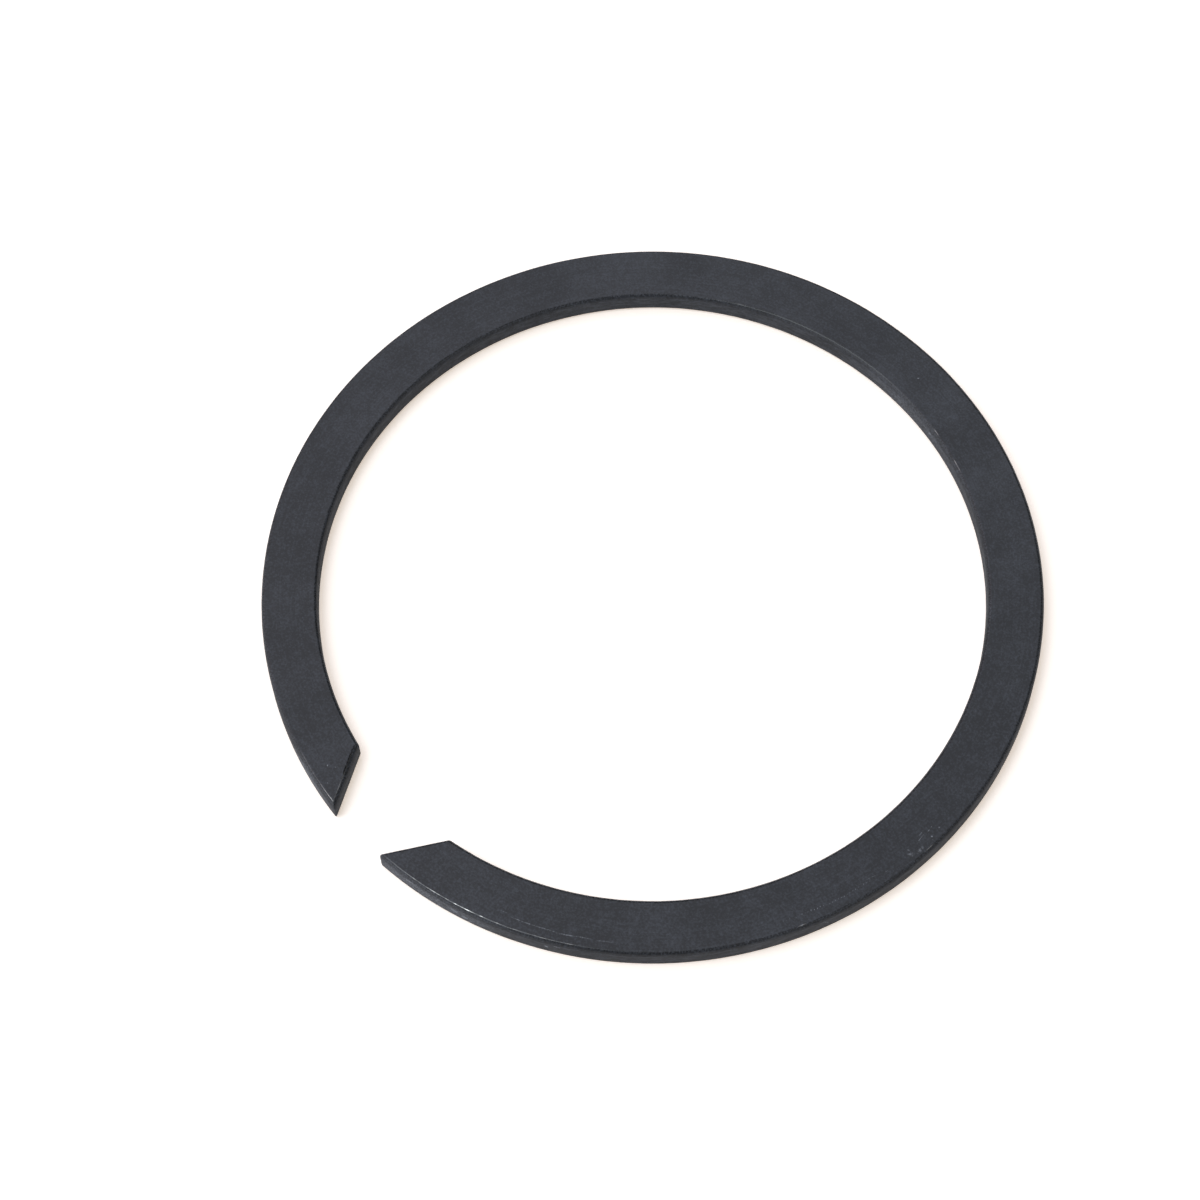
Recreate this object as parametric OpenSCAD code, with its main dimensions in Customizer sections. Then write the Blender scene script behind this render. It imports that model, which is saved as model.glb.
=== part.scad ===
// Open retaining ring of flat spring steel, lying flat.
// It snaps round a shaft, into a groove. Its free ends are cut at a slant, so that
// the gap between them is narrow at the outside and wide at the inside.
// Frame: +Z up, origin at the centre of the ring on its lower face, gap towards -Y.

/* [Ring] */
// Inner diameter with the ring relaxed
inner_d = 79.5; // [50:0.5:110]
// Radial width of the flat section
ring_w = 6.7; // [4:0.1:9]
// Thickness of the flat section
ring_t = 3; // [1.5:0.1:4]
// Radius of the rounded edges, round the ring and along its cut ends
edge_r = 0.55; // [0.1:0.05:0.7]

/* [Ends] */
// Gap between the two pointed tips, straight across, before their corners are rounded
tip_gap = 7.5; // [3:0.1:14]
// Slant of each cut, away from the middle line of the gap
cut_slant = 30; // [10:1:40]
// Corner radius of the pointed tips, seen from above
tip_r = 0.25; // [0.1:0.05:1]
// Corner radius of the blunt inner corners, seen from above
heel_r = 0.6; // [0.1:0.05:2]

/* [Hidden] */
$fn = 180;

steel_colour = "#404247";
inner_r = inner_d / 2;
outer_r = inner_r + ring_w;
// How far the shapes that cut reach past what they cut
over = 1;
// A corner's round is this much larger than one that just touches both walls,
// so that it meets each of them in a clean edge
round_share = 1.02;

// The sharp tip of the right-hand end, before its corner is rounded
tip = [tip_gap / 2, -sqrt(pow(outer_r, 2) - pow(tip_gap / 2, 2))];
// Along the cut, from the tip inwards
along = [sin(cut_slant), cos(cut_slant)];
// Square to the cut, into the steel
inward = [cos(cut_slant), -sin(cut_slant)];

// Centre of a circle of radius r that touches the cut from inside the steel,
// where that centre lies at the distance `far` from the centre of the ring
function round_centre(r, far) =
    let (start = tip + r * inward, half = start * along)
    start - along * (half + sqrt(pow(half, 2) - start * start + pow(far, 2)));

// Section of a flat bar, as thick as the ring and with its rounded edges
module bar_section(width) {
    translate([0, edge_r])
        square([width, ring_t - 2 * edge_r]);
    translate([edge_r, 0])
        square([width - 2 * edge_r, ring_t]);
    for (x = [edge_r, width - edge_r], y = [edge_r, ring_t - edge_r])
        translate([x, y])
            circle(r = edge_r);
}

// The hoop before it is cut open
module hoop() {
    rotate_extrude()
        translate([inner_r, 0])
            bar_section(ring_w);
}

// What is taken away between the right-hand cut and the middle of the gap,
// together with what rounds the edges along the cut
module cut_off() {
    reach = tip_gap + 2 * ring_w;
    intersection() {
        translate(tip)
            rotate([90, 0, -cut_slant])
                linear_extrude(height = 6 * ring_w, center = true)
                    difference() {
                        translate([-reach, -over])
                            square([reach + edge_r, ring_t + 2 * over]);
                        bar_section(reach);
                    }
        translate([-over, -2 * outer_r, -2 * over])
            cube([2 * reach, 2 * outer_r, ring_t + 4 * over]);
    }
}

// What is taken away outside a rounded corner of the right-hand end.
// `centre` is the centre of the round, and `wall` points from there to the
// curved wall that the round runs into
module corner_off(centre, r, wall) {
    out = r + over;
    to_cut = centre - out * inward;
    translate([0, 0, -over])
        linear_extrude(height = ring_t + 2 * over)
            difference() {
                polygon([centre, to_cut, to_cut + out * wall, centre + out * wall]);
                translate(centre)
                    circle(r = r * round_share);
            }
}

// Everything that is taken away to shape the right-hand end
module end_off() {
    tip_centre = round_centre(tip_r, outer_r - tip_r);
    heel_centre = round_centre(heel_r, inner_r + heel_r);
    cut_off();
    corner_off(tip_centre, tip_r, tip_centre / norm(tip_centre));
    corner_off(heel_centre, heel_r, -heel_centre / norm(heel_centre));
}

module retaining_ring() {
    color(steel_colour)
        difference() {
            hoop();
            for (side = [0, 1])
                mirror([side, 0, 0])
                    end_off();
        }
}

retaining_ring();
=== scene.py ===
"""Open retaining ring of blackened spring steel, lying flat on white paper.

The ring is one piece of steel. Its shape is worked out in millimetres, from the size of the
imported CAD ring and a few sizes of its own, and its finish is built from nodes.
Frame: +Z up, origin at the centre of the ring on its lower face, gap towards -Y.
"""

import math

import bpy
from mathutils import Matrix, Vector, noise


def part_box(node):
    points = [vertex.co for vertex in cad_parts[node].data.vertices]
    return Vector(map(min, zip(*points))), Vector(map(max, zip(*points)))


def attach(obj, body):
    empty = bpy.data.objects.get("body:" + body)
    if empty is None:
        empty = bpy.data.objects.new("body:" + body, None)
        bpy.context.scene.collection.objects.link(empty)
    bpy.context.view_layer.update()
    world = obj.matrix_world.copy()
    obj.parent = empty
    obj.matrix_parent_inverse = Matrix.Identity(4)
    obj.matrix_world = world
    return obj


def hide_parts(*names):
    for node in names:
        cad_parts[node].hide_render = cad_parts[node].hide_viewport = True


bl_info = {
    "name": "Retaining Ring",
    "version": (1, 0, 0),
    "blender": (4, 5, 0),
    "location": "View3D > Sidebar > Ring",
    "description": "Builds an open retaining ring of blackened spring steel and a plain studio for it",
    "category": "Add Mesh",
}

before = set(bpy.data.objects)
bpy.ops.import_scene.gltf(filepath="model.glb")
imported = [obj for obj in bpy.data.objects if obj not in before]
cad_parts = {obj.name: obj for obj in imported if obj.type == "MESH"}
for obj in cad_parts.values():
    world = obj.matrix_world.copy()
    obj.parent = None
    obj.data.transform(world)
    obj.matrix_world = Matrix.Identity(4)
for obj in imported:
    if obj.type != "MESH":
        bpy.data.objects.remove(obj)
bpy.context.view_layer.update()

MM = 0.001
NODE = "retaining_ring"
BODY = "root"
ring_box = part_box(NODE)
OUTER_RADIUS = ring_box[1][0]
THICKNESS = ring_box[1][2] - ring_box[0][2]

# The picture's right-hand side is turned this far from +X towards +Y, in degrees. The
# azimuths of the lights are given in the picture: 0 is right, 90 is away from the camera.
PICTURE_TURN = 47.54

# Soft lights of the studio, drawn into the world: azimuth, elevation, how narrow, and colour
SOFT_LIGHTS = (
    (85, 58, 20.0, (1.92, 2.05, 2.30)),
    (140, 50, 9.0, (1.20, 1.05, 1.15)),
    (200, 12, 3.5, (2.40, 2.45, 2.65)),
    (315, 45, 9.0, (0.90, 0.90, 0.92)),
    (270, 10, 3.0, (0.15, 0.15, 0.15)),
    (10, 38, 4.0, (0.35, 0.35, 0.35)),
)


def linear(hex_value):
    """Linear colour of an sRGB hex value such as #404247."""
    parts = [int(hex_value[i:i + 2], 16) / 255 for i in (1, 3, 5)]
    return tuple(c / 12.92 if c <= 0.04045 else ((c + 0.055) / 1.055) ** 2.4 for c in parts)


def add(tree, kind, settings=None, inputs=None):
    """Add a node to a tree. settings are its properties, inputs its values or links."""
    node = tree.nodes.new(kind)
    for name, value in (settings or {}).items():
        setattr(node, name, value)
    for name, value in (inputs or {}).items():
        if isinstance(value, bpy.types.NodeSocket):
            tree.links.new(value, node.inputs[name])
        else:
            node.inputs[name].default_value = value
    return node


class RingSettings(bpy.types.PropertyGroup):
    """Sizes of the ring. The first two come from the CAD ring."""

    outer_radius: bpy.props.FloatProperty(
        name="Outer Radius",
        description="Outer radius of the relaxed ring",
        default=OUTER_RADIUS,
        unit="LENGTH",
    )
    thickness: bpy.props.FloatProperty(
        name="Thickness",
        description="Thickness of the flat section",
        default=THICKNESS,
        unit="LENGTH",
    )
    width: bpy.props.FloatProperty(
        name="Width",
        description="Radial width of the flat section",
        default=6.7 * MM,
        unit="LENGTH",
    )
    edge_radius: bpy.props.FloatProperty(
        name="Edge Radius",
        description="Radius of the rounded edges round the hoop",
        default=0.55 * MM,
        unit="LENGTH",
    )
    cut_edge_radii: bpy.props.FloatVectorProperty(
        name="Cut Edge Radii",
        description="Radii of the rounded edges along the left and the right cut",
        default=(0.66 * MM, 0.42 * MM),
        size=2,
        unit="LENGTH",
    )
    crease: bpy.props.FloatProperty(
        name="Crease",
        description="Tilt at which the rounded edge meets the flat face",
        default=math.radians(11),
        subtype="ANGLE",
    )
    tip_gap: bpy.props.FloatProperty(
        name="Tip Gap",
        description="Gap between the two pointed tips, before their corners are rounded",
        default=7.5 * MM,
        unit="LENGTH",
    )
    slant: bpy.props.FloatProperty(
        name="Slant",
        description="Slant of each cut, away from the middle line of the gap",
        default=math.radians(30),
        subtype="ANGLE",
    )
    tip_radii: bpy.props.FloatVectorProperty(
        name="Tip Radii",
        description="Corner radii of the left and the right tip, seen from above",
        default=(0.15 * MM, 0.25 * MM),
        size=2,
        unit="LENGTH",
    )
    heel_radii: bpy.props.FloatVectorProperty(
        name="Heel Radii",
        description="Corner radii of the left and the right inner corner, seen from above",
        default=(0.45 * MM, 0.6 * MM),
        size=2,
        unit="LENGTH",
    )
    hoop_steps: bpy.props.IntProperty(
        name="Hoop Steps",
        description="Number of mesh steps along the hoop",
        default=1080,
        min=60,
    )


class FinishSettings(bpy.types.PropertyGroup):
    """Colours and grain of the steel's finish."""

    oxide_dark: bpy.props.FloatVectorProperty(
        name="Dark Oxide",
        description="Black oxide where it is thick",
        default=linear("#15171A"),
        size=3,
        subtype="COLOR",
    )
    # Also the colour that the walls are pulled towards, as painted light on the walls
    oxide_pale: bpy.props.FloatVectorProperty(
        name="Pale Oxide",
        description="Black oxide where it is thin and dry",
        default=linear("#3C4047"),
        size=3,
        subtype="COLOR",
    )
    # Also the colour of the painted light: broad pale patches on the walls where they catch the lamps
    scuffed_and_painted_light: bpy.props.FloatVectorProperty(
        name="Scuffed Oxide",
        description="Oxide rubbed to a pale dust",
        default=linear("#8A8E94"),
        size=3,
        subtype="COLOR",
    )
    bare_steel: bpy.props.FloatVectorProperty(
        name="Bare Steel",
        description="Spring steel where the oxide is worn off",
        default=linear("#A9A8A6"),
        size=3,
        subtype="COLOR",
    )
    grain_size: bpy.props.FloatProperty(
        name="Grain Size",
        description="Width of the mottled grain that tumbling leaves",
        default=0.24 * MM,
        unit="LENGTH",
    )
    grain_depth: bpy.props.FloatProperty(
        name="Grain Depth",
        description="Depth of that grain",
        default=0.004 * MM,
        unit="LENGTH",
    )


class StageSettings(bpy.types.PropertyGroup):
    """Camera, key light and paper."""

    view_azimuth: bpy.props.FloatProperty(
        name="View Azimuth",
        description="Way that the camera looks, turned from +Y towards +X",
        default=math.radians(-49.43),
        subtype="ANGLE",
    )
    elevation: bpy.props.FloatProperty(
        name="View Elevation",
        description="How steeply the camera looks down",
        default=math.radians(64.216),
        subtype="ANGLE",
    )
    roll: bpy.props.FloatProperty(
        name="View Roll",
        description="Turn of the camera about the way it looks",
        default=math.radians(-2.0946),
        subtype="ANGLE",
    )
    aim: bpy.props.FloatVectorProperty(
        name="Aim",
        description="Point on the floor at the middle of the picture",
        default=(-3.815 * MM, -4.925 * MM, 0.0),
        subtype="TRANSLATION",
    )
    distance: bpy.props.FloatProperty(
        name="Distance",
        description="Distance of the camera from that point",
        default=391.15 * MM,
        unit="LENGTH",
    )
    lens: bpy.props.FloatProperty(
        name="Lens",
        description="Focal length of the camera in millimetres",
        default=98.196,
    )
    key_azimuth: bpy.props.FloatProperty(
        name="Key Azimuth",
        description="Where the key light stands, in degrees from the picture's right",
        default=198.0,
    )
    key_elevation: bpy.props.FloatProperty(
        name="Key Elevation",
        description="How high the key light stands, in degrees",
        default=70.0,
    )
    key_distance: bpy.props.FloatProperty(
        name="Key Distance",
        description="Distance of the key light from the ring",
        default=1.2,
        unit="LENGTH",
    )
    key_half_angle: bpy.props.FloatProperty(
        name="Key Half Angle",
        description="Half of the angle that the key light fills, seen from the ring",
        default=math.radians(13),
        subtype="ANGLE",
    )
    key_radiance: bpy.props.FloatProperty(
        name="Key Radiance",
        description="Brightness of the key light's face",
        default=4.6,
    )
    key_colour: bpy.props.FloatVectorProperty(
        name="Key Colour",
        description="Colour of the key light",
        default=(0.90, 0.97, 1.0),
        size=3,
        subtype="COLOR",
    )
    paper: bpy.props.FloatVectorProperty(
        name="Paper",
        description="Colour of the paper floor in the light",
        default=(0.90, 0.90, 0.90),
        size=3,
        subtype="COLOR",
    )
    paper_glow: bpy.props.FloatVectorProperty(
        name="Paper Glow",
        description="What the camera sees of the paper on top of that",
        default=(0.46, 0.38, 0.30),
        size=3,
        subtype="COLOR",
    )


class Outline:
    """The ring's outline seen from above, at any inset from its walls, in millimetres.

    It is a loop of places. Each place knows where it stands at a given inset, so the loops
    of the flats, the rounded edges and the walls all have the same places. A place is
    (side, kind, share): side is 0 at the left-hand end and 1 at the right-hand end.
    No corner's radius falls below SHARPEST, however far it is inset.
    """

    SHARPEST = 0.07
    CORNER_STEPS = 3
    CUT_STEPS = 14

    def __init__(self, ring):
        self.outer = ring.outer_radius / MM
        self.inner = self.outer - ring.width / MM
        half_gap = ring.tip_gap / MM / 2
        self.tip = Vector((half_gap, -math.sqrt(self.outer ** 2 - half_gap ** 2)))
        self.along = Vector((math.sin(ring.slant), math.cos(ring.slant)))
        self.inward = Vector((math.cos(ring.slant), -math.sin(ring.slant)))
        self.cut_normal = math.atan2(-self.inward.y, -self.inward.x)
        self.tip_radii = [radius / MM for radius in ring.tip_radii]
        self.heel_radii = [radius / MM for radius in ring.heel_radii]
        self.hoop_steps = ring.hoop_steps

    def corner(self, side, inset, at_tip):
        """Centre and radius of a corner's round and its normal at the curved wall.

        Both ends are worked out on the right-hand side, and point() mirrors the left one.
        """
        wanted = (self.tip_radii if at_tip else self.heel_radii)[side]
        radius = max(wanted - inset, self.SHARPEST)
        reach = inset + radius
        start = self.tip + self.inward * reach
        far = self.outer - reach if at_tip else self.inner + reach
        half = start.dot(self.along)
        centre = start - self.along * (half + math.sqrt(half ** 2 - start.length_squared + far ** 2))
        wall = centre if at_tip else -centre
        wall_normal = math.atan2(wall.y, wall.x)
        return centre, radius, wall_normal + 2 * math.pi if at_tip else wall_normal

    def on_corner(self, side, inset, at_tip, share):
        """Point on a corner's round. share runs from 0 at the curved wall to 1 at the cut."""
        centre, radius, wall_normal = self.corner(side, inset, at_tip)
        turn = wall_normal + (self.cut_normal - wall_normal) * share
        return centre + radius * Vector((math.cos(turn), math.sin(turn)))

    def on_hoop(self, inset, outside, share):
        """Point on the hoop's walls. share runs from 0 at the left-hand end to 1 at the right."""
        turns = []
        for side in (0, 1):
            centre = self.corner(side, inset, outside)[0]
            turns.append(math.pi - math.atan2(centre.x, -centre.y))
        turn = -turns[0] + (turns[0] + turns[1]) * share
        radius = self.outer - inset if outside else self.inner + inset
        return Vector((radius * math.sin(turn), radius * math.cos(turn)))

    def sides(self):
        """The loop's places, as the four sides of a long rectangle that meet at its corners."""
        halves = [0.5 * i / self.CORNER_STEPS for i in range(self.CORNER_STEPS)]
        hoop = [i / self.hoop_steps for i in range(self.hoop_steps + 1)]
        cut = [i / self.CUT_STEPS for i in range(self.CUT_STEPS + 1)]
        outside = [(0, "tip", 0.5 - share) for share in halves]
        outside += [(1, "outer", share) for share in hoop]
        outside += [(1, "tip", share) for share in halves[1:]]
        right = [(1, "tip", 0.5 + share) for share in halves]
        right += [(1, "cut", share) for share in cut]
        right += [(1, "heel", 1 - share) for share in halves[1:]]
        inside = [(1, "heel", 0.5 - share) for share in halves]
        inside += [(1, "inner", share) for share in reversed(hoop)]
        inside += [(0, "heel", share) for share in halves[1:]]
        left = [(0, "heel", 0.5)]
        left += [(0, kind, share) for _, kind, share in reversed(right[1:])]
        return outside, right, inside, left

    def point(self, place, inset):
        """Where a place of the loop stands at an inset."""
        side, kind, share = place
        if kind in ("outer", "inner"):
            return self.on_hoop(inset, kind == "outer", share)
        if kind == "cut":
            tip = self.on_corner(side, inset, True, 1)
            heel = self.on_corner(side, inset, False, 1)
            at = tip.lerp(heel, share)
        else:
            at = self.on_corner(side, inset, kind == "tip", share)
        return at if side else Vector((-at.x, at.y))


class Unevenness:
    """How the edges and walls depart from their true form, in millimetres.

    The ring was stamped, tumbled and blackened, so its edges waver a little. The lower outer
    edge is sharper all round, and the upper outer one along the back and left. A stretch of
    the upper outer edge was knocked about. Each stretch has a middle bearing and a half width.
    """

    # Lengths of the edges' slow and quick wavers and of the walls' waver, and its mean depth
    SLOW = 4.0
    QUICK = 0.9
    WALL = 1.3
    WALL_DEPTH = 0.008
    SLOW_SHARE = 0.07
    QUICK_SHARE = 0.04
    KNOCKED_SHARE = 0.14
    KNOCKED_AT = math.radians(104)
    KNOCKED_HALF = math.radians(9)
    LOWER_OUTER_SHARE = 0.62
    BACK_AT = math.radians(-68)
    BACK_HALF = math.radians(62)
    BACK_SHARE = 0.5

    def __init__(self, ring):
        self.hoop = ring.edge_radius / MM
        self.cuts = [radius / MM for radius in ring.cut_edge_radii]

    def plain_edge(self, place, upper):
        """Radius of the rounded edge at a place, before it wavers."""
        side, kind, share = place
        sharper = not upper and kind in ("outer", "tip")
        hoop = self.hoop * (self.LOWER_OUTER_SHARE if sharper else 1)
        if kind in ("outer", "inner"):
            return hoop
        if kind == "cut":
            return self.cuts[side]
        return hoop + (self.cuts[side] - hoop) * share

    def edge(self, place, at, upper):
        """Radius of the rounded edge at a place of the outline. The two edges waver apart."""
        level = 3.0 if upper else 0.0
        slow = noise.noise(Vector((at.x, at.y, level)) / self.SLOW)
        quick = noise.noise(Vector((at.x, at.y, level)) / self.QUICK)
        bearing = math.atan2(at.x, at.y)
        knocks = 0.0
        sharp = 0.0
        if upper and place[1] == "outer":
            knocks = max(0.0, 1 - ((bearing - self.KNOCKED_AT) / self.KNOCKED_HALF) ** 2)
            sharp = max(0.0, 1 - ((bearing - self.BACK_AT) / self.BACK_HALF) ** 4)
        share = 1 - (1 - self.BACK_SHARE) * sharp
        waver = 1 + self.SLOW_SHARE * slow + (self.QUICK_SHARE + self.KNOCKED_SHARE * knocks) * quick
        return self.plain_edge(place, upper) * share * waver

    def wall(self, at):
        """How far the wall stands back from its true place."""
        return self.WALL_DEPTH * (1 + noise.noise(Vector((at.x, at.y, 0)) / self.WALL))


def shares(points):
    """How far along a row of points each of them is, from 0 to 1."""
    lengths = [0.0]
    for one, other in zip(points, points[1:]):
        lengths.append(lengths[-1] + (other - one).length)
    return [length / lengths[-1] for length in lengths]


class RingMesh:
    """The steel's mesh: two flats, and loops round the edges and walls between them.

    Each flat is a grid with long rows along the hoop, whose corners are the tips and heels.
    Its rows follow the shape of a cut over END_SHARE of the hoop, and run evenly beyond.
    The vertex attribute "turn" runs from 0 on a flat over the rounded edge to 1 on a wall.
    """

    EDGE_STEPS = 7
    WALL_STEPS = 3
    END_SHARE = 0.04

    def __init__(self, ring):
        self.crease = ring.crease
        self.thickness = ring.thickness / MM
        self.outline = Outline(ring)
        self.uneven = Unevenness(ring)
        self.sides = self.outline.sides()
        self.places = [place for side in self.sides for place in side]
        self.spots = []
        self.turns = []
        self.faces = []

    def vertex(self, spot, turn):
        """Add a vertex and return its number."""
        self.spots.append(spot)
        self.turns.append(turn)
        return len(self.spots) - 1

    def edge_loop(self, step, upper):
        """One loop of a rounded edge. step runs from 0 at the flat to EDGE_STEPS at the wall."""
        turn = step / self.EDGE_STEPS
        tilt = self.crease + (math.pi / 2 - self.crease) * turn
        loop = []
        for place in self.places:
            at = self.outline.point(place, 0)
            radius = self.uneven.edge(place, at, upper)
            inset = radius * (1 - math.sin(tilt)) + self.uneven.wall(at)
            depth = radius * (math.cos(self.crease) - math.cos(tilt))
            height = self.thickness - depth if upper else depth
            spot = self.outline.point(place, inset).to_3d() + Vector((0, 0, height))
            loop.append(self.vertex(spot, turn))
        return loop

    def wall_loop(self, above, below, share):
        """One loop of the walls, part of the way down from the upper edge to the lower one."""
        return [self.vertex(self.spots[i].lerp(self.spots[j], share), 1) for i, j in zip(above, below)]

    def join(self, above, below):
        """Close the strip between two loops with quads."""
        for i in range(len(above)):
            j = i - 1
            self.faces.append((above[j], above[i], below[i], below[j]))

    def flat(self, loop, upper):
        """Fill a flat inside its boundary loop, by blending its four sides."""
        columns = len(self.sides[0])
        rows = len(self.sides[1])
        ring = loop + loop[:1]
        first = ring[:columns + 1]
        end = ring[columns:columns + rows + 1]
        last = ring[columns + rows:2 * columns + rows + 1][::-1]
        start = ring[2 * columns + rows:][::-1]
        spots = self.spots
        across = shares([spots[i] for i in end])
        along = shares([spots[i] for i in first])
        grid = [first]
        for j in range(1, rows):
            share = across[j]
            pull_start = spots[start[j]] - spots[first[0]].lerp(spots[last[0]], share)
            pull_end = spots[end[j]] - spots[first[-1]].lerp(spots[last[-1]], share)
            row = [start[j]]
            for i in range(1, columns):
                spot = spots[first[i]].lerp(spots[last[i]], share)
                spot += pull_start * max(0.0, 1 - along[i] / self.END_SHARE)
                spot += pull_end * max(0.0, 1 - (1 - along[i]) / self.END_SHARE)
                row.append(self.vertex(spot, 0))
            grid.append(row + [end[j]])
        grid.append(last)
        for upper_row, lower_row in zip(grid, grid[1:]):
            for i in range(columns):
                quad = (upper_row[i], lower_row[i], lower_row[i + 1], upper_row[i + 1])
                self.faces.append(quad if upper else quad[::-1])

    def build(self, name):
        """Make the Blender mesh."""
        steps = range(self.EDGE_STEPS + 1)
        upper = [self.edge_loop(step, True) for step in steps]
        lower = [self.edge_loop(step, False) for step in reversed(steps)]
        parts = range(1, self.WALL_STEPS)
        walls = [self.wall_loop(upper[-1], lower[0], part / self.WALL_STEPS) for part in parts]
        loops = upper + walls + lower
        for above, below in zip(loops, loops[1:]):
            self.join(above, below)
        self.flat(upper[0], True)
        self.flat(lower[-1], False)
        mesh = bpy.data.meshes.new(name)
        mesh.from_pydata([spot * MM for spot in self.spots], [], self.faces)
        mesh.attributes.new("turn", "FLOAT", "POINT").data.foreach_set("value", self.turns)
        mesh.shade_smooth()
        return mesh


# Noise patterns of the finish: what they follow, their period along, across and down in
# millimetres, their detail, and the two noise values that become 0 and 1. "block" is the
# solid steel, "strip" is the section rolled out along the hoop.
PATTERNS = {
    "mottle": ("block", (1.4, 1.4, 1.4), 3.0, (0.36, 0.66)),
    "cloud": ("block", (8.0, 8.0, 8.0), 2.0, (0.36, 0.64)),
    "streak": ("strip", (14.0, 0.22, 0.22), 2.0, (0.36, 0.68)),
    "rub": ("strip", (1.4, 0.5, 0.8), 3.0, (0.46, 0.62)),
    "dash": ("strip", (0.7, 0.6, 0.6), 2.0, (0.44, 0.62)),
}

# Marks that handling has left, and three broad pale patches of painted light on the walls,
# where the outer walls near both ends and the inner wall at the back catch the lamps. Each
# has its bearing round the hoop in degrees, 0 at the back and +90 at +X, its place on the
# section in millimetres, from the outer edge inwards along the face, below 0 down the outer
# wall and beyond the width down the inner wall, its half length and half width in
# millimetres, its lean from the way of the hoop in degrees, and its strength.
MARKS_AND_PAINTED_LIGHT = (
    (-168.9, 2.26, 0.13, 0.11, 20, 1.0),
    (-169.8, 2.92, 0.12, 0.09, 0, 0.7),
    (-171.3, 1.18, 0.12, 0.10, 0, 0.5),
    (2.1, 3.45, 0.16, 0.10, -35, 0.9),
    (88.2, 0.86, 0.10, 0.08, 40, 0.9),
    (87.9, 1.16, 0.16, 0.10, 60, 0.8),
    (86.1, 1.32, 0.12, 0.10, 60, 0.8),
    (89.3, 1.90, 0.90, 0.07, -8, 0.5),
    (87.3, 1.95, 0.80, 0.06, -10, 0.6),
    (88.6, 2.30, 0.60, 0.05, -8, 0.4),
    (90.6, 0.90, 0.70, 0.30, -10, 0.35),
    (92.1, 1.20, 0.50, 0.35, 30, 0.35),
    (91.9, 1.77, 0.25, 0.10, 70, 0.4),
    (98.9, 1.80, 0.90, 0.04, 8, 0.35),
    (100.5, 1.75, 0.80, 0.04, 8, 0.3),
    (96.4, 1.40, 0.60, 0.06, 0, 0.25),
    (139.7, 1.36, 1.30, 0.07, 0, 0.35),
    (142.9, 1.46, 1.20, 0.08, 2, 0.40),
    (145.2, 1.40, 1.40, 0.10, -3, 0.45),
    (147.9, 1.50, 1.20, 0.09, 4, 0.50),
    (150.3, 1.55, 1.60, 0.09, 2, 0.55),
    (152.6, 1.62, 1.00, 0.06, 2, 0.5),
    (154.8, 1.95, 0.90, 0.05, 0, 0.3),
    (111.2, 0.40, 0.22, 0.09, -10, 0.9),
    (107.7, -1.15, 0.75, 0.06, 50, 0.8),
    (117.1, 0.42, 0.12, 0.07, 0, 0.6),
    (119.2, 0.30, 0.10, 0.06, 0, 0.5),
    (84.2, -1.30, 0.35, 0.10, 20, 0.7),
    (169.4, -0.75, 0.90, 0.22, -15, 1.5),
    (166.1, -0.90, 0.60, 0.25, -15, 0.7),
    (161.9, -1.30, 0.70, 0.45, 30, 1.0),
    (160.2, -1.80, 0.60, 0.35, -35, 1.1),
    (159.3, -2.10, 0.50, 0.14, -40, 0.8),
    (147.8, -1.40, 0.35, 0.25, 60, 0.9),
    (146.3, -0.80, 0.55, 0.20, 10, 0.9),
    # Painted light: broad pale patches on the outer walls near both ends and on the inner wall at the back,
    # where those walls catch the lamps
    (168.0, -1.50, 13.0, 2.20, 0, 0.36),
    (-168.0, -1.50, 5.50, 2.20, 0, 0.45),
    (7.0, 8.20, 13.0, 2.20, 0, 0.20),
    (11.0, 7.80, 0.35, 0.60, 30, 0.7),
    (-175.6, 0.30, 0.14, 0.08, 45, 0.9),
)
# Where the crease of the edge is worn bright, in the same form
GLINTS = (
    (158.0, 0.38, 16.0, 0.5, 0, 0.22),
    (169.6, 0.38, 1.2, 0.5, 0, 0.4),
    (165.4, 0.38, 1.5, 0.5, 0, 0.7),
    (163.2, 0.38, 0.35, 0.5, 0, 0.7),
    (161.3, 0.38, 0.9, 0.5, 0, 1.0),
    (159.6, 0.38, 1.0, 0.5, 0, 1.0),
    (157.7, 0.38, 0.3, 0.5, 0, 0.7),
    (155.4, 0.38, 0.5, 0.5, 0, 0.5),
    (152.5, 0.38, 0.5, 0.5, 0, 0.4),
    (149.0, 0.38, 1.2, 0.5, 0, 0.4),
    (144.5, 0.38, 0.8, 0.5, 0, 0.3),
    (111.2, 0.38, 0.6, 0.5, 0, 0.8),
    (89.4, 0.23, 0.9, 0.5, 0, 0.5),
    (-172.6, 0.35, 1.6, 0.4, 0, 0.8),
    (-169.0, 0.38, 3.5, 0.4, 0, 0.3),
    (-173.1, 1.90, 3.6, 0.6, 53, 0.3),
    (12.0, 6.41, 0.7, 0.5, 0, 0.5),
    (19.4, 6.35, 1.2, 0.5, 0, 0.6),
    (-31.2, 6.46, 0.8, 0.5, 0, 0.4),
)
# A row of small ticks along the face, where something ribbed was drawn over it
TICKS_FROM = 97.5
TICKS_TO = 113.5
TICKS = 34
TICK_PLACE = 1.55


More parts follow.
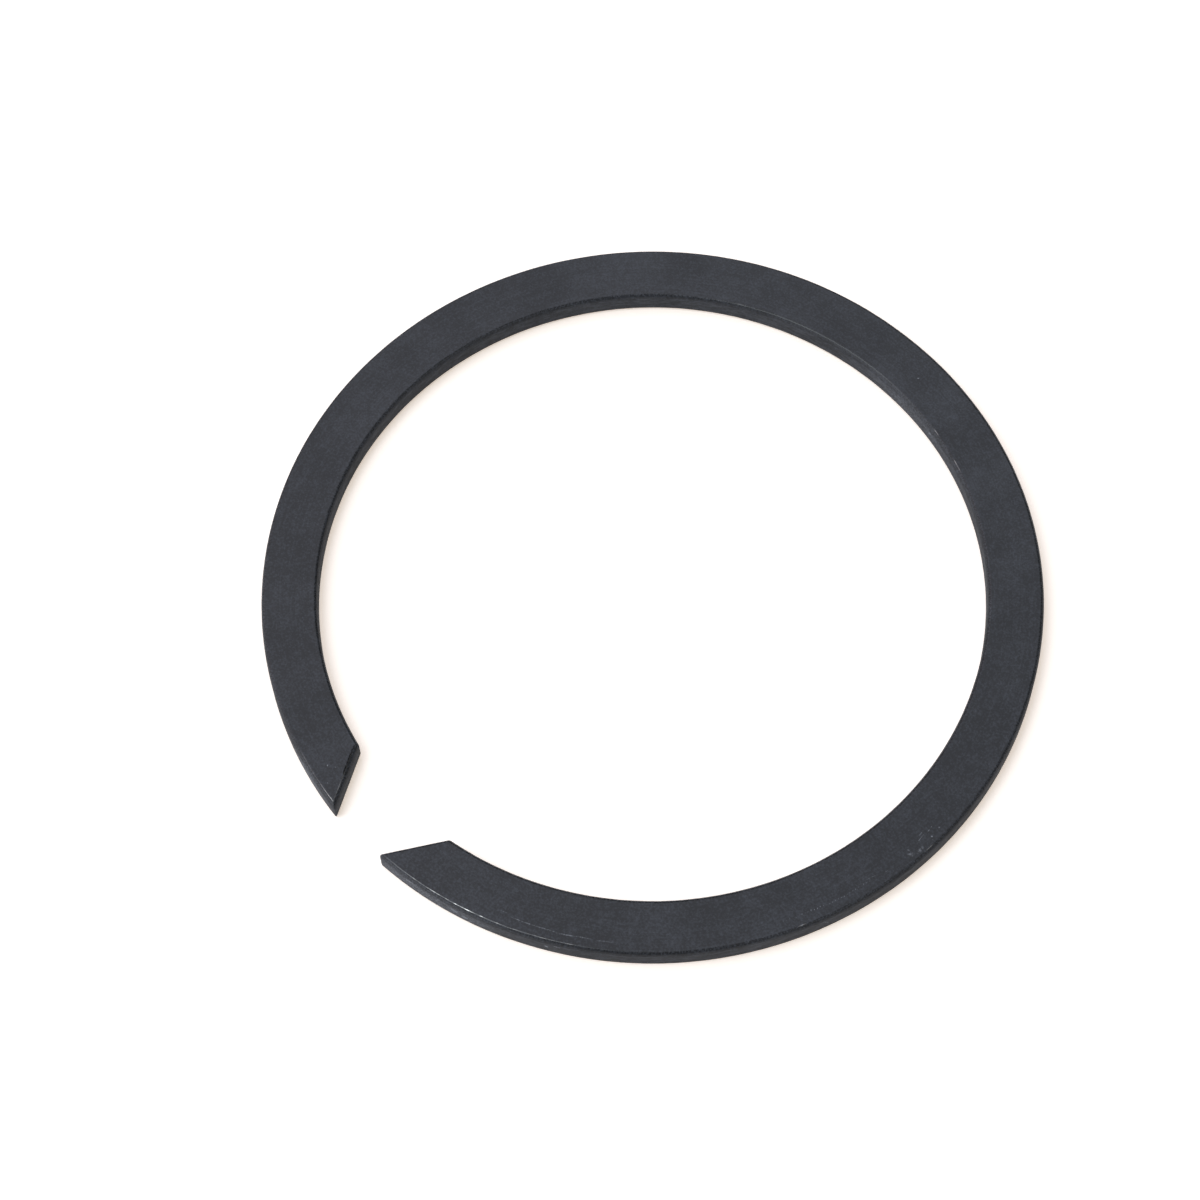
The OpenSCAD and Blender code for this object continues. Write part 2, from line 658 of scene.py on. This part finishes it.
def mark_group():
    """Node group of one mark: an oval patch on the rolled-out section that fades at its rim."""
    tree = bpy.data.node_groups.new("handling_mark", "ShaderNodeTree")
    for name, kind in (
        ("Others", "NodeSocketFloat"),
        ("Place", "NodeSocketVector"),
        ("Centre", "NodeSocketVector"),
        ("Half Size", "NodeSocketVector"),
        ("Lean", "NodeSocketFloat"),
        ("Strength", "NodeSocketFloat"),
    ):
        tree.interface.new_socket(name=name, in_out="INPUT", socket_type=kind)
    tree.interface.new_socket(name="Amount", in_out="OUTPUT", socket_type="NodeSocketFloat")
    given = add(tree, "NodeGroupInput").outputs
    off = add(tree, "ShaderNodeVectorMath", {"operation": "SUBTRACT"}, {
        0: given["Place"], 1: given["Centre"]})
    turned = add(tree, "ShaderNodeVectorRotate", {"rotation_type": "Z_AXIS"}, {
        "Vector": off.outputs[0], "Angle": given["Lean"]})
    scaled = add(tree, "ShaderNodeVectorMath", {"operation": "DIVIDE"}, {
        0: turned.outputs[0], 1: given["Half Size"]})
    reach = add(tree, "ShaderNodeVectorMath", {"operation": "LENGTH"}, {0: scaled.outputs[0]})
    fade = add(tree, "ShaderNodeMapRange", {"interpolation_type": "SMOOTHSTEP"}, {
        "Value": reach.outputs["Value"], "From Min": 1.0, "From Max": 0.3,
        "To Min": 0.0, "To Max": given["Strength"]})
    most = add(tree, "ShaderNodeMath", {"operation": "MAXIMUM"}, {
        0: fade.outputs[0], 1: given["Others"]})
    add(tree, "NodeGroupOutput", inputs={"Amount": most.outputs[0]})
    return tree


def coordinates(tree, ring):
    """Millimetre coordinates for the finish, and whether a spot is away from the hoop's rims.

    "block" is in the solid steel. "strip" is (way along the hoop, place on the section, depth
    below the upper face). "inland" is 0 on the rims of a flat and 1 further in.
    """
    seen = add(tree, "ShaderNodeTexCoord").outputs["Object"]
    block = add(tree, "ShaderNodeVectorMath", {"operation": "SCALE"}, {0: seen, "Scale": 1 / MM})
    parts = add(tree, "ShaderNodeSeparateXYZ", inputs={0: block.outputs[0]}).outputs
    bearing = add(tree, "ShaderNodeMath", {"operation": "ARCTAN2"}, {0: parts["X"], 1: parts["Y"]})
    middle_radius = (ring.outer_radius - ring.width / 2) / MM
    along = add(tree, "ShaderNodeMath", {"operation": "MULTIPLY"}, {
        0: bearing.outputs[0], 1: middle_radius})
    plan = add(tree, "ShaderNodeCombineXYZ", inputs={"X": parts["X"], "Y": parts["Y"]})
    radius = add(tree, "ShaderNodeVectorMath", {"operation": "LENGTH"}, {0: plan.outputs[0]})
    inset = add(tree, "ShaderNodeMath", {"operation": "SUBTRACT"}, {
        0: ring.outer_radius / MM, 1: radius.outputs["Value"]})
    depth = add(tree, "ShaderNodeMath", {"operation": "SUBTRACT"}, {
        0: ring.thickness / MM, 1: parts["Z"]})
    inner_half = add(tree, "ShaderNodeMath", {"operation": "GREATER_THAN"}, {
        0: inset.outputs[0], 1: ring.width / 2 / MM})
    down = add(tree, "ShaderNodeMath", {"operation": "MULTIPLY_ADD"}, {
        0: inner_half.outputs[0], 1: 2.0, 2: -1.0})
    section = add(tree, "ShaderNodeMath", {"operation": "MULTIPLY_ADD"}, {
        0: depth.outputs[0], 1: down.outputs[0], 2: inset.outputs[0]})
    strip = add(tree, "ShaderNodeCombineXYZ", inputs={
        "X": along.outputs[0], "Y": section.outputs[0], "Z": depth.outputs[0]})
    outset = add(tree, "ShaderNodeMath", {"operation": "SUBTRACT"}, {
        0: ring.width / MM, 1: inset.outputs[0]})
    rim = add(tree, "ShaderNodeMath", {"operation": "MINIMUM"}, {
        0: inset.outputs[0], 1: outset.outputs[0]})
    edge = ring.edge_radius / MM
    inland = add(tree, "ShaderNodeMapRange", inputs={
        "Value": rim.outputs[0], "From Min": edge, "From Max": 2 * edge})
    return {"block": block.outputs[0], "strip": strip.outputs[0], "inland": inland.outputs[0]}


def patterns(tree, places, grain_size):
    """The noise patterns of the finish, each as a value from 0 to 1."""
    made = {}
    every = {"grain": ("block", (grain_size,) * 3, 3.0, (0.40, 0.72)), **PATTERNS}
    for name, (follows, period, detail, (low, high)) in every.items():
        scaled = add(tree, "ShaderNodeVectorMath", {"operation": "DIVIDE"}, {
            0: places[follows], 1: period})
        raw = add(tree, "ShaderNodeTexNoise", {"noise_dimensions": "3D"}, {
            "Vector": scaled.outputs[0], "Scale": 1.0, "Detail": detail, "Roughness": 0.55})
        spread = add(tree, "ShaderNodeMapRange", inputs={
            "Value": raw.outputs["Fac"], "From Min": low, "From Max": high})
        made[name] = spread.outputs[0]
    return made


def weighed(tree, terms, base=0.0):
    """The sum of a base and of values times their weights."""
    total = base
    for value, weight in terms:
        step = add(tree, "ShaderNodeMath", {"operation": "MULTIPLY_ADD"}, {
            0: value, 1: weight, 2: total})
        total = step.outputs[0]
    return total


def ramp(tree, value, stops):
    """A value looked up on a ramp of stops, each a position and the value there."""
    node = add(tree, "ShaderNodeValToRGB", inputs={"Fac": value})
    elements = node.color_ramp.elements
    there = len(elements)
    for element, (position, level) in zip(elements, stops):
        element.position = position
        element.color = (level, level, level, 1)
    for position, level in stops[there:]:
        elements.new(position).color = (level, level, level, 1)
    return node.outputs["Color"]


def ticks():
    """The marks of the row of small ticks."""
    made = []
    for i in range(TICKS):
        share = i / (TICKS - 1)
        bearing = TICKS_FROM + (TICKS_TO - TICKS_FROM) * share
        waver = noise.noise(Vector((bearing, 0.5, 0)))
        strength = 0.55 * math.sin(math.pi * share) + 0.15 + 0.3 * waver
        made.append((bearing, TICK_PLACE + 0.18 * waver, 0.05, 0.12, 25, strength))
    return made


def marked(tree, group, strip, ring, marks):
    """How strongly a list of marks shows, from 0 to 1."""
    width = ring.width / MM
    middle_radius = ring.outer_radius / MM - width / 2
    amount = 0.0
    for bearing, section, half_length, half_width, lean, strength in marks:
        mark = add(tree, "ShaderNodeGroup", {"node_tree": group}, {
            "Others": amount,
            "Place": strip,
            "Centre": (math.radians(bearing) * middle_radius, section, max(0.0, -section, section - width)),
            "Half Size": (half_length, half_width, 3.0),
            "Lean": math.radians(-lean),
            "Strength": strength,
        })
        amount = mark.outputs["Amount"]
    return amount


def black_oxide(ring, finish):
    """Black oxide on spring steel, rolled flat, stamped, tumbled and lightly oiled.

    The eye sees a satin blue-black face with a fine mottled grain and faint streaks round
    the hoop, duller walls, and a thin bright line on the crease of the edge where tumbling
    and handling have worn the oxide down to the steel.
    """
    material = bpy.data.materials.new("black_oxide_on_spring_steel")
    material.use_nodes = True
    tree = material.node_tree
    shader = tree.nodes["Principled BSDF"]
    places = coordinates(tree, ring)
    made = patterns(tree, places, finish.grain_size / MM)
    turn = add(tree, "ShaderNodeAttribute", {"attribute_name": "turn"}).outputs["Fac"]
    group = mark_group()
    # The marks include broad pale patches of painted light on the walls
    marks = marked(tree, group, places["strip"], ring, (*MARKS_AND_PAINTED_LIGHT, *ticks()))
    glints = marked(tree, group, places["strip"], ring, GLINTS)

    # Tone of the oxide, with painted light on the walls: they are made paler where they catch
    # light from the white floor and the low lamps
    on_wall = add(tree, "ShaderNodeMapRange", inputs={
        "Value": turn, "From Min": 0.6, "From Max": 1.0}).outputs[0]
    tone = weighed(tree, (
        (made["grain"], 0.62),
        (made["mottle"], 0.16),
        (made["cloud"], 0.14),
        (made["streak"], 0.16),
        # Painted light: the walls are made paler
        (on_wall, 0.12),
    ), -0.22)
    oxide = add(tree, "ShaderNodeMix", {"data_type": "RGBA"}, {
        "Factor": tone, 6: (*finish.oxide_dark, 1), 7: (*finish.oxide_pale, 1)})

    # Rubbed marks and broad pale patches of painted light on the walls, broken up by the
    # grain, and rubbed patches on the walls
    gritty = weighed(tree, ((made["grain"], 1.3),), 0.1)
    rubbed_and_painted_light = add(tree, "ShaderNodeMath", {"operation": "MULTIPLY", "use_clamp": True}, {
        0: marks, 1: gritty})
    wall_rub = add(tree, "ShaderNodeMath", {"operation": "MULTIPLY"}, {
        0: on_wall, 1: made["rub"]})
    dust_and_painted_light = add(tree, "ShaderNodeMath", {"operation": "MULTIPLY_ADD"}, {
        0: wall_rub.outputs[0], 1: 0.08, 2: rubbed_and_painted_light.outputs[0]})
    dusted_and_painted_light = add(tree, "ShaderNodeMix", {"data_type": "RGBA"}, {
        "Factor": dust_and_painted_light.outputs[0], 6: oxide.outputs[2], 7: (*finish.scuffed_and_painted_light, 1)})

    # Bare steel on the crease of the edge
    crease = ramp(tree, turn, ((0.0, 0.0), (0.02, 1.0), (0.09, 1.0), (0.15, 0.0)))
    broken = weighed(tree, ((made["dash"], 0.6),), 0.4)
    rubbed_bare = weighed(tree, ((glints, 1.0),), 0.02)
    bare = add(tree, "ShaderNodeMath", {"operation": "MULTIPLY"}, {0: rubbed_bare, 1: broken})
    worn = add(tree, "ShaderNodeMath", {"operation": "MULTIPLY", "use_clamp": True}, {
        0: crease, 1: bare.outputs[0]})
    colour = add(tree, "ShaderNodeMix", {"data_type": "RGBA"}, {
        "Factor": worn.outputs[0], 6: dusted_and_painted_light.outputs[2], 7: (*finish.bare_steel, 1)})

    # Gloss: satin faces, a smoother edge and dull walls
    gloss = ramp(tree, turn, ((0.0, 0.40), (0.05, 0.28), (0.35, 0.30), (0.85, 0.8)))
    rough = weighed(tree, (
        (made["grain"], 0.10),
        (made["cloud"], -0.05),
        (rubbed_and_painted_light.outputs[0], 0.2),
        (worn.outputs[0], -0.08),
        (gloss, 1.0),
    ), -0.02)

    # Fine relief, which is nearly gone on the rounded edges and near the rims of the flats
    calm = ramp(tree, turn, ((0.0, 1.0), (0.25, 0.1), (0.80, 0.1), (1.0, 0.6)))
    relief = weighed(tree, ((made["grain"], 1.0), (made["streak"], 0.3)))
    kept = weighed(tree, ((places["inland"], 0.85),), 0.15)
    amount = add(tree, "ShaderNodeMath", {"operation": "MULTIPLY"}, {
        0: kept, 1: calm})
    height = add(tree, "ShaderNodeMath", {"operation": "MULTIPLY"}, {
        0: relief, 1: amount.outputs[0]})
    bump = add(tree, "ShaderNodeBump", inputs={
        "Strength": 1.0, "Distance": finish.grain_depth, "Height": height.outputs[0]})

    # The oiled oxide mirrors a little less than a clear coat would
    shader.inputs["Specular IOR Level"].default_value = 0.35
    links = tree.links
    links.new(colour.outputs[2], shader.inputs["Base Color"])
    links.new(worn.outputs[0], shader.inputs["Metallic"])
    links.new(rough, shader.inputs["Roughness"])
    links.new(bump.outputs["Normal"], shader.inputs["Normal"])
    return material


class RINGS_OT_add_ring(bpy.types.Operator):
    """Add the retaining ring in place of the plain CAD ring"""

    bl_idname = "rings.add_ring"
    bl_label = "Add Retaining Ring"
    bl_options = {"REGISTER", "UNDO"}

    def execute(self, context):
        """Build the steel and put it in the CAD ring's place."""
        ring = context.scene.ring_settings
        mesh = RingMesh(ring).build("ring_steel")
        mesh.materials.append(black_oxide(ring, context.scene.ring_finish))
        piece = bpy.data.objects.new("ring_steel", mesh)
        context.scene.collection.objects.link(piece)
        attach(piece, BODY)
        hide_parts(NODE)
        return {"FINISHED"}


def look_down(azimuth, elevation, roll):
    """Turn of a camera that looks down at the floor."""
    flat = Vector((math.sin(azimuth), math.cos(azimuth), 0))
    forward = flat * math.cos(elevation) - Vector((0, 0, math.sin(elevation)))
    level_right = forward.cross(Vector((0, 0, 1))).normalized()
    level_up = level_right.cross(forward)
    right = level_right * math.cos(roll) + level_up * math.sin(roll)
    up = right.cross(forward)
    return Matrix((right, up, -forward)).transposed()


def towards(azimuth, elevation):
    """Unit vector to a light, from its azimuth in the picture and its elevation in degrees."""
    turn = math.radians(azimuth + PICTURE_TURN)
    rise = math.radians(elevation)
    return Vector((math.cos(turn) * math.cos(rise), math.sin(turn) * math.cos(rise), math.sin(rise)))


def white_paper(stage):
    """Matt white paper.

    The eye sees clean white, as in an overexposed product photo, with a short warm shadow
    round the steel. The glow is only for the camera and for what the steel mirrors.
    """
    material = bpy.data.materials.new("matt_white_paper")
    material.use_nodes = True
    tree = material.node_tree
    shader = tree.nodes["Principled BSDF"]
    shader.inputs["Base Color"].default_value = (*stage.paper, 1)
    shader.inputs["Roughness"].default_value = 1.0
    shader.inputs["Specular IOR Level"].default_value = 0.0
    shader.inputs["Emission Color"].default_value = (*stage.paper_glow, 1)
    path = add(tree, "ShaderNodeLightPath").outputs
    camera_or_gloss = add(tree, "ShaderNodeMath", {"operation": "MAXIMUM"}, {
        0: path["Is Camera Ray"], 1: path["Is Glossy Ray"]})
    seen = add(tree, "ShaderNodeMath", {"operation": "MAXIMUM"}, {
        0: camera_or_gloss.outputs[0], 1: path["Is Transmission Ray"]})
    tree.links.new(seen.outputs[0], shader.inputs["Emission Strength"])
    return material


class RINGS_OT_add_studio(bpy.types.Operator):
    """Add the camera, the paper floor, the key light and the world"""

    bl_idname = "rings.add_studio"
    bl_label = "Add Studio"
    bl_options = {"REGISTER", "UNDO"}

    SENSOR_MM = 36.0
    FLOOR_HALF = 3.0
    FLOOR_DROP = 0.02 * MM

    def execute(self, context):
        """Set up all of the studio."""
        stage = context.scene.ring_stage
        self.add_camera(context, stage)
        self.add_floor(context, stage)
        self.add_key(context, stage)
        self.set_world(context)
        context.scene.view_settings.view_transform = "Standard"
        return {"FINISHED"}

    def add_camera(self, context, stage):
        """Add the camera, which sees the ring as in the photo."""
        data = bpy.data.cameras.new("camera")
        data.sensor_width = self.SENSOR_MM
        data.lens = stage.lens
        data.clip_start = 0.01
        data.clip_end = 20
        camera = bpy.data.objects.new("camera", data)
        turn = look_down(stage.view_azimuth, stage.elevation, stage.roll)
        place = Vector(stage.aim) + turn.col[2] * stage.distance
        camera.matrix_world = Matrix.Translation(place) @ turn.to_4x4()
        context.scene.collection.objects.link(camera)
        context.scene.camera = camera

    def add_floor(self, context, stage):
        """Add the paper, a hair below the steel so that the two faces don't meet."""
        half = self.FLOOR_HALF
        sides = ((-half, -half), (half, -half), (half, half), (-half, half))
        mesh = bpy.data.meshes.new("paper_floor")
        mesh.from_pydata([(x, y, -self.FLOOR_DROP) for x, y in sides], [], [(0, 1, 2, 3)])
        mesh.materials.append(white_paper(stage))
        floor = bpy.data.objects.new("paper_floor", mesh)
        context.scene.collection.objects.link(floor)

    def add_key(self, context, stage):
        """Add the key light, a round softbox. Its power follows from its size and radiance."""
        data = bpy.data.lights.new("key_softbox", "AREA")
        data.shape = "DISK"
        data.size = 2 * stage.key_distance * math.tan(stage.key_half_angle)
        data.energy = stage.key_radiance * math.pi ** 2 * (data.size / 2) ** 2
        data.color = stage.key_colour
        light = bpy.data.objects.new("key_softbox", data)
        way = towards(stage.key_azimuth, stage.key_elevation)
        turn = way.to_track_quat("Z", "Y").to_matrix().to_4x4()
        light.matrix_world = Matrix.Translation(way * stage.key_distance) @ turn
        context.scene.collection.objects.link(light)

    def set_world(self, context):
        """Draw the soft lights into the world, each as a power of how far a ray faces it."""
        world = bpy.data.worlds.new("studio")
        context.scene.world = world
        world.use_nodes = True
        tree = world.node_tree
        ray = add(tree, "ShaderNodeTexCoord").outputs["Generated"]
        total = (0, 0, 0)
        for azimuth, elevation, narrow, colour in SOFT_LIGHTS:
            way = towards(azimuth, elevation)
            facing = add(tree, "ShaderNodeVectorMath", {"operation": "DOT_PRODUCT"}, {0: ray, 1: way})
            above = add(tree, "ShaderNodeMath", {"operation": "MAXIMUM"}, {
                0: facing.outputs["Value"], 1: 0.0})
            soft = add(tree, "ShaderNodeMath", {"operation": "POWER"}, {0: above.outputs[0], 1: narrow})
            step = add(tree, "ShaderNodeVectorMath", {"operation": "MULTIPLY_ADD"}, {
                0: soft.outputs[0], 1: colour, 2: total})
            total = step.outputs[0]
        tree.links.new(total, tree.nodes["Background"].inputs["Color"])


class RINGS_PT_panel(bpy.types.Panel):
    """Sizes, finish and studio of the retaining ring"""

    bl_idname = "RINGS_PT_panel"
    bl_label = "Retaining Ring"
    bl_space_type = "VIEW_3D"
    bl_region_type = "UI"
    bl_category = "Ring"

    def draw(self, context):
        """List the settings, with the button that builds from them."""
        for heading, settings, operator in (
            ("Ring", context.scene.ring_settings, RINGS_OT_add_ring),
            ("Finish", context.scene.ring_finish, None),
            ("Studio", context.scene.ring_stage, RINGS_OT_add_studio),
        ):
            column = self.layout.column(align=True)
            column.label(text=heading)
            for name in settings.__annotations__:
                column.prop(settings, name)
            if operator:
                column.operator(operator.bl_idname)


CLASSES = (
    RingSettings,
    FinishSettings,
    StageSettings,
    RINGS_OT_add_ring,
    RINGS_OT_add_studio,
    RINGS_PT_panel,
)


def register():
    """Register the classes and hang the settings on the scene."""
    for kind in CLASSES:
        bpy.utils.register_class(kind)
    bpy.types.Scene.ring_settings = bpy.props.PointerProperty(type=RingSettings)
    bpy.types.Scene.ring_finish = bpy.props.PointerProperty(type=FinishSettings)
    bpy.types.Scene.ring_stage = bpy.props.PointerProperty(type=StageSettings)


def unregister():
    """Take the settings and the classes away again."""
    del bpy.types.Scene.ring_stage
    del bpy.types.Scene.ring_finish
    del bpy.types.Scene.ring_settings
    for kind in reversed(CLASSES):
        bpy.utils.unregister_class(kind)


def main():
    """Build the ring and its studio."""
    register()
    bpy.ops.rings.add_ring()
    bpy.ops.rings.add_studio()


if __name__ == "__main__":
    main()
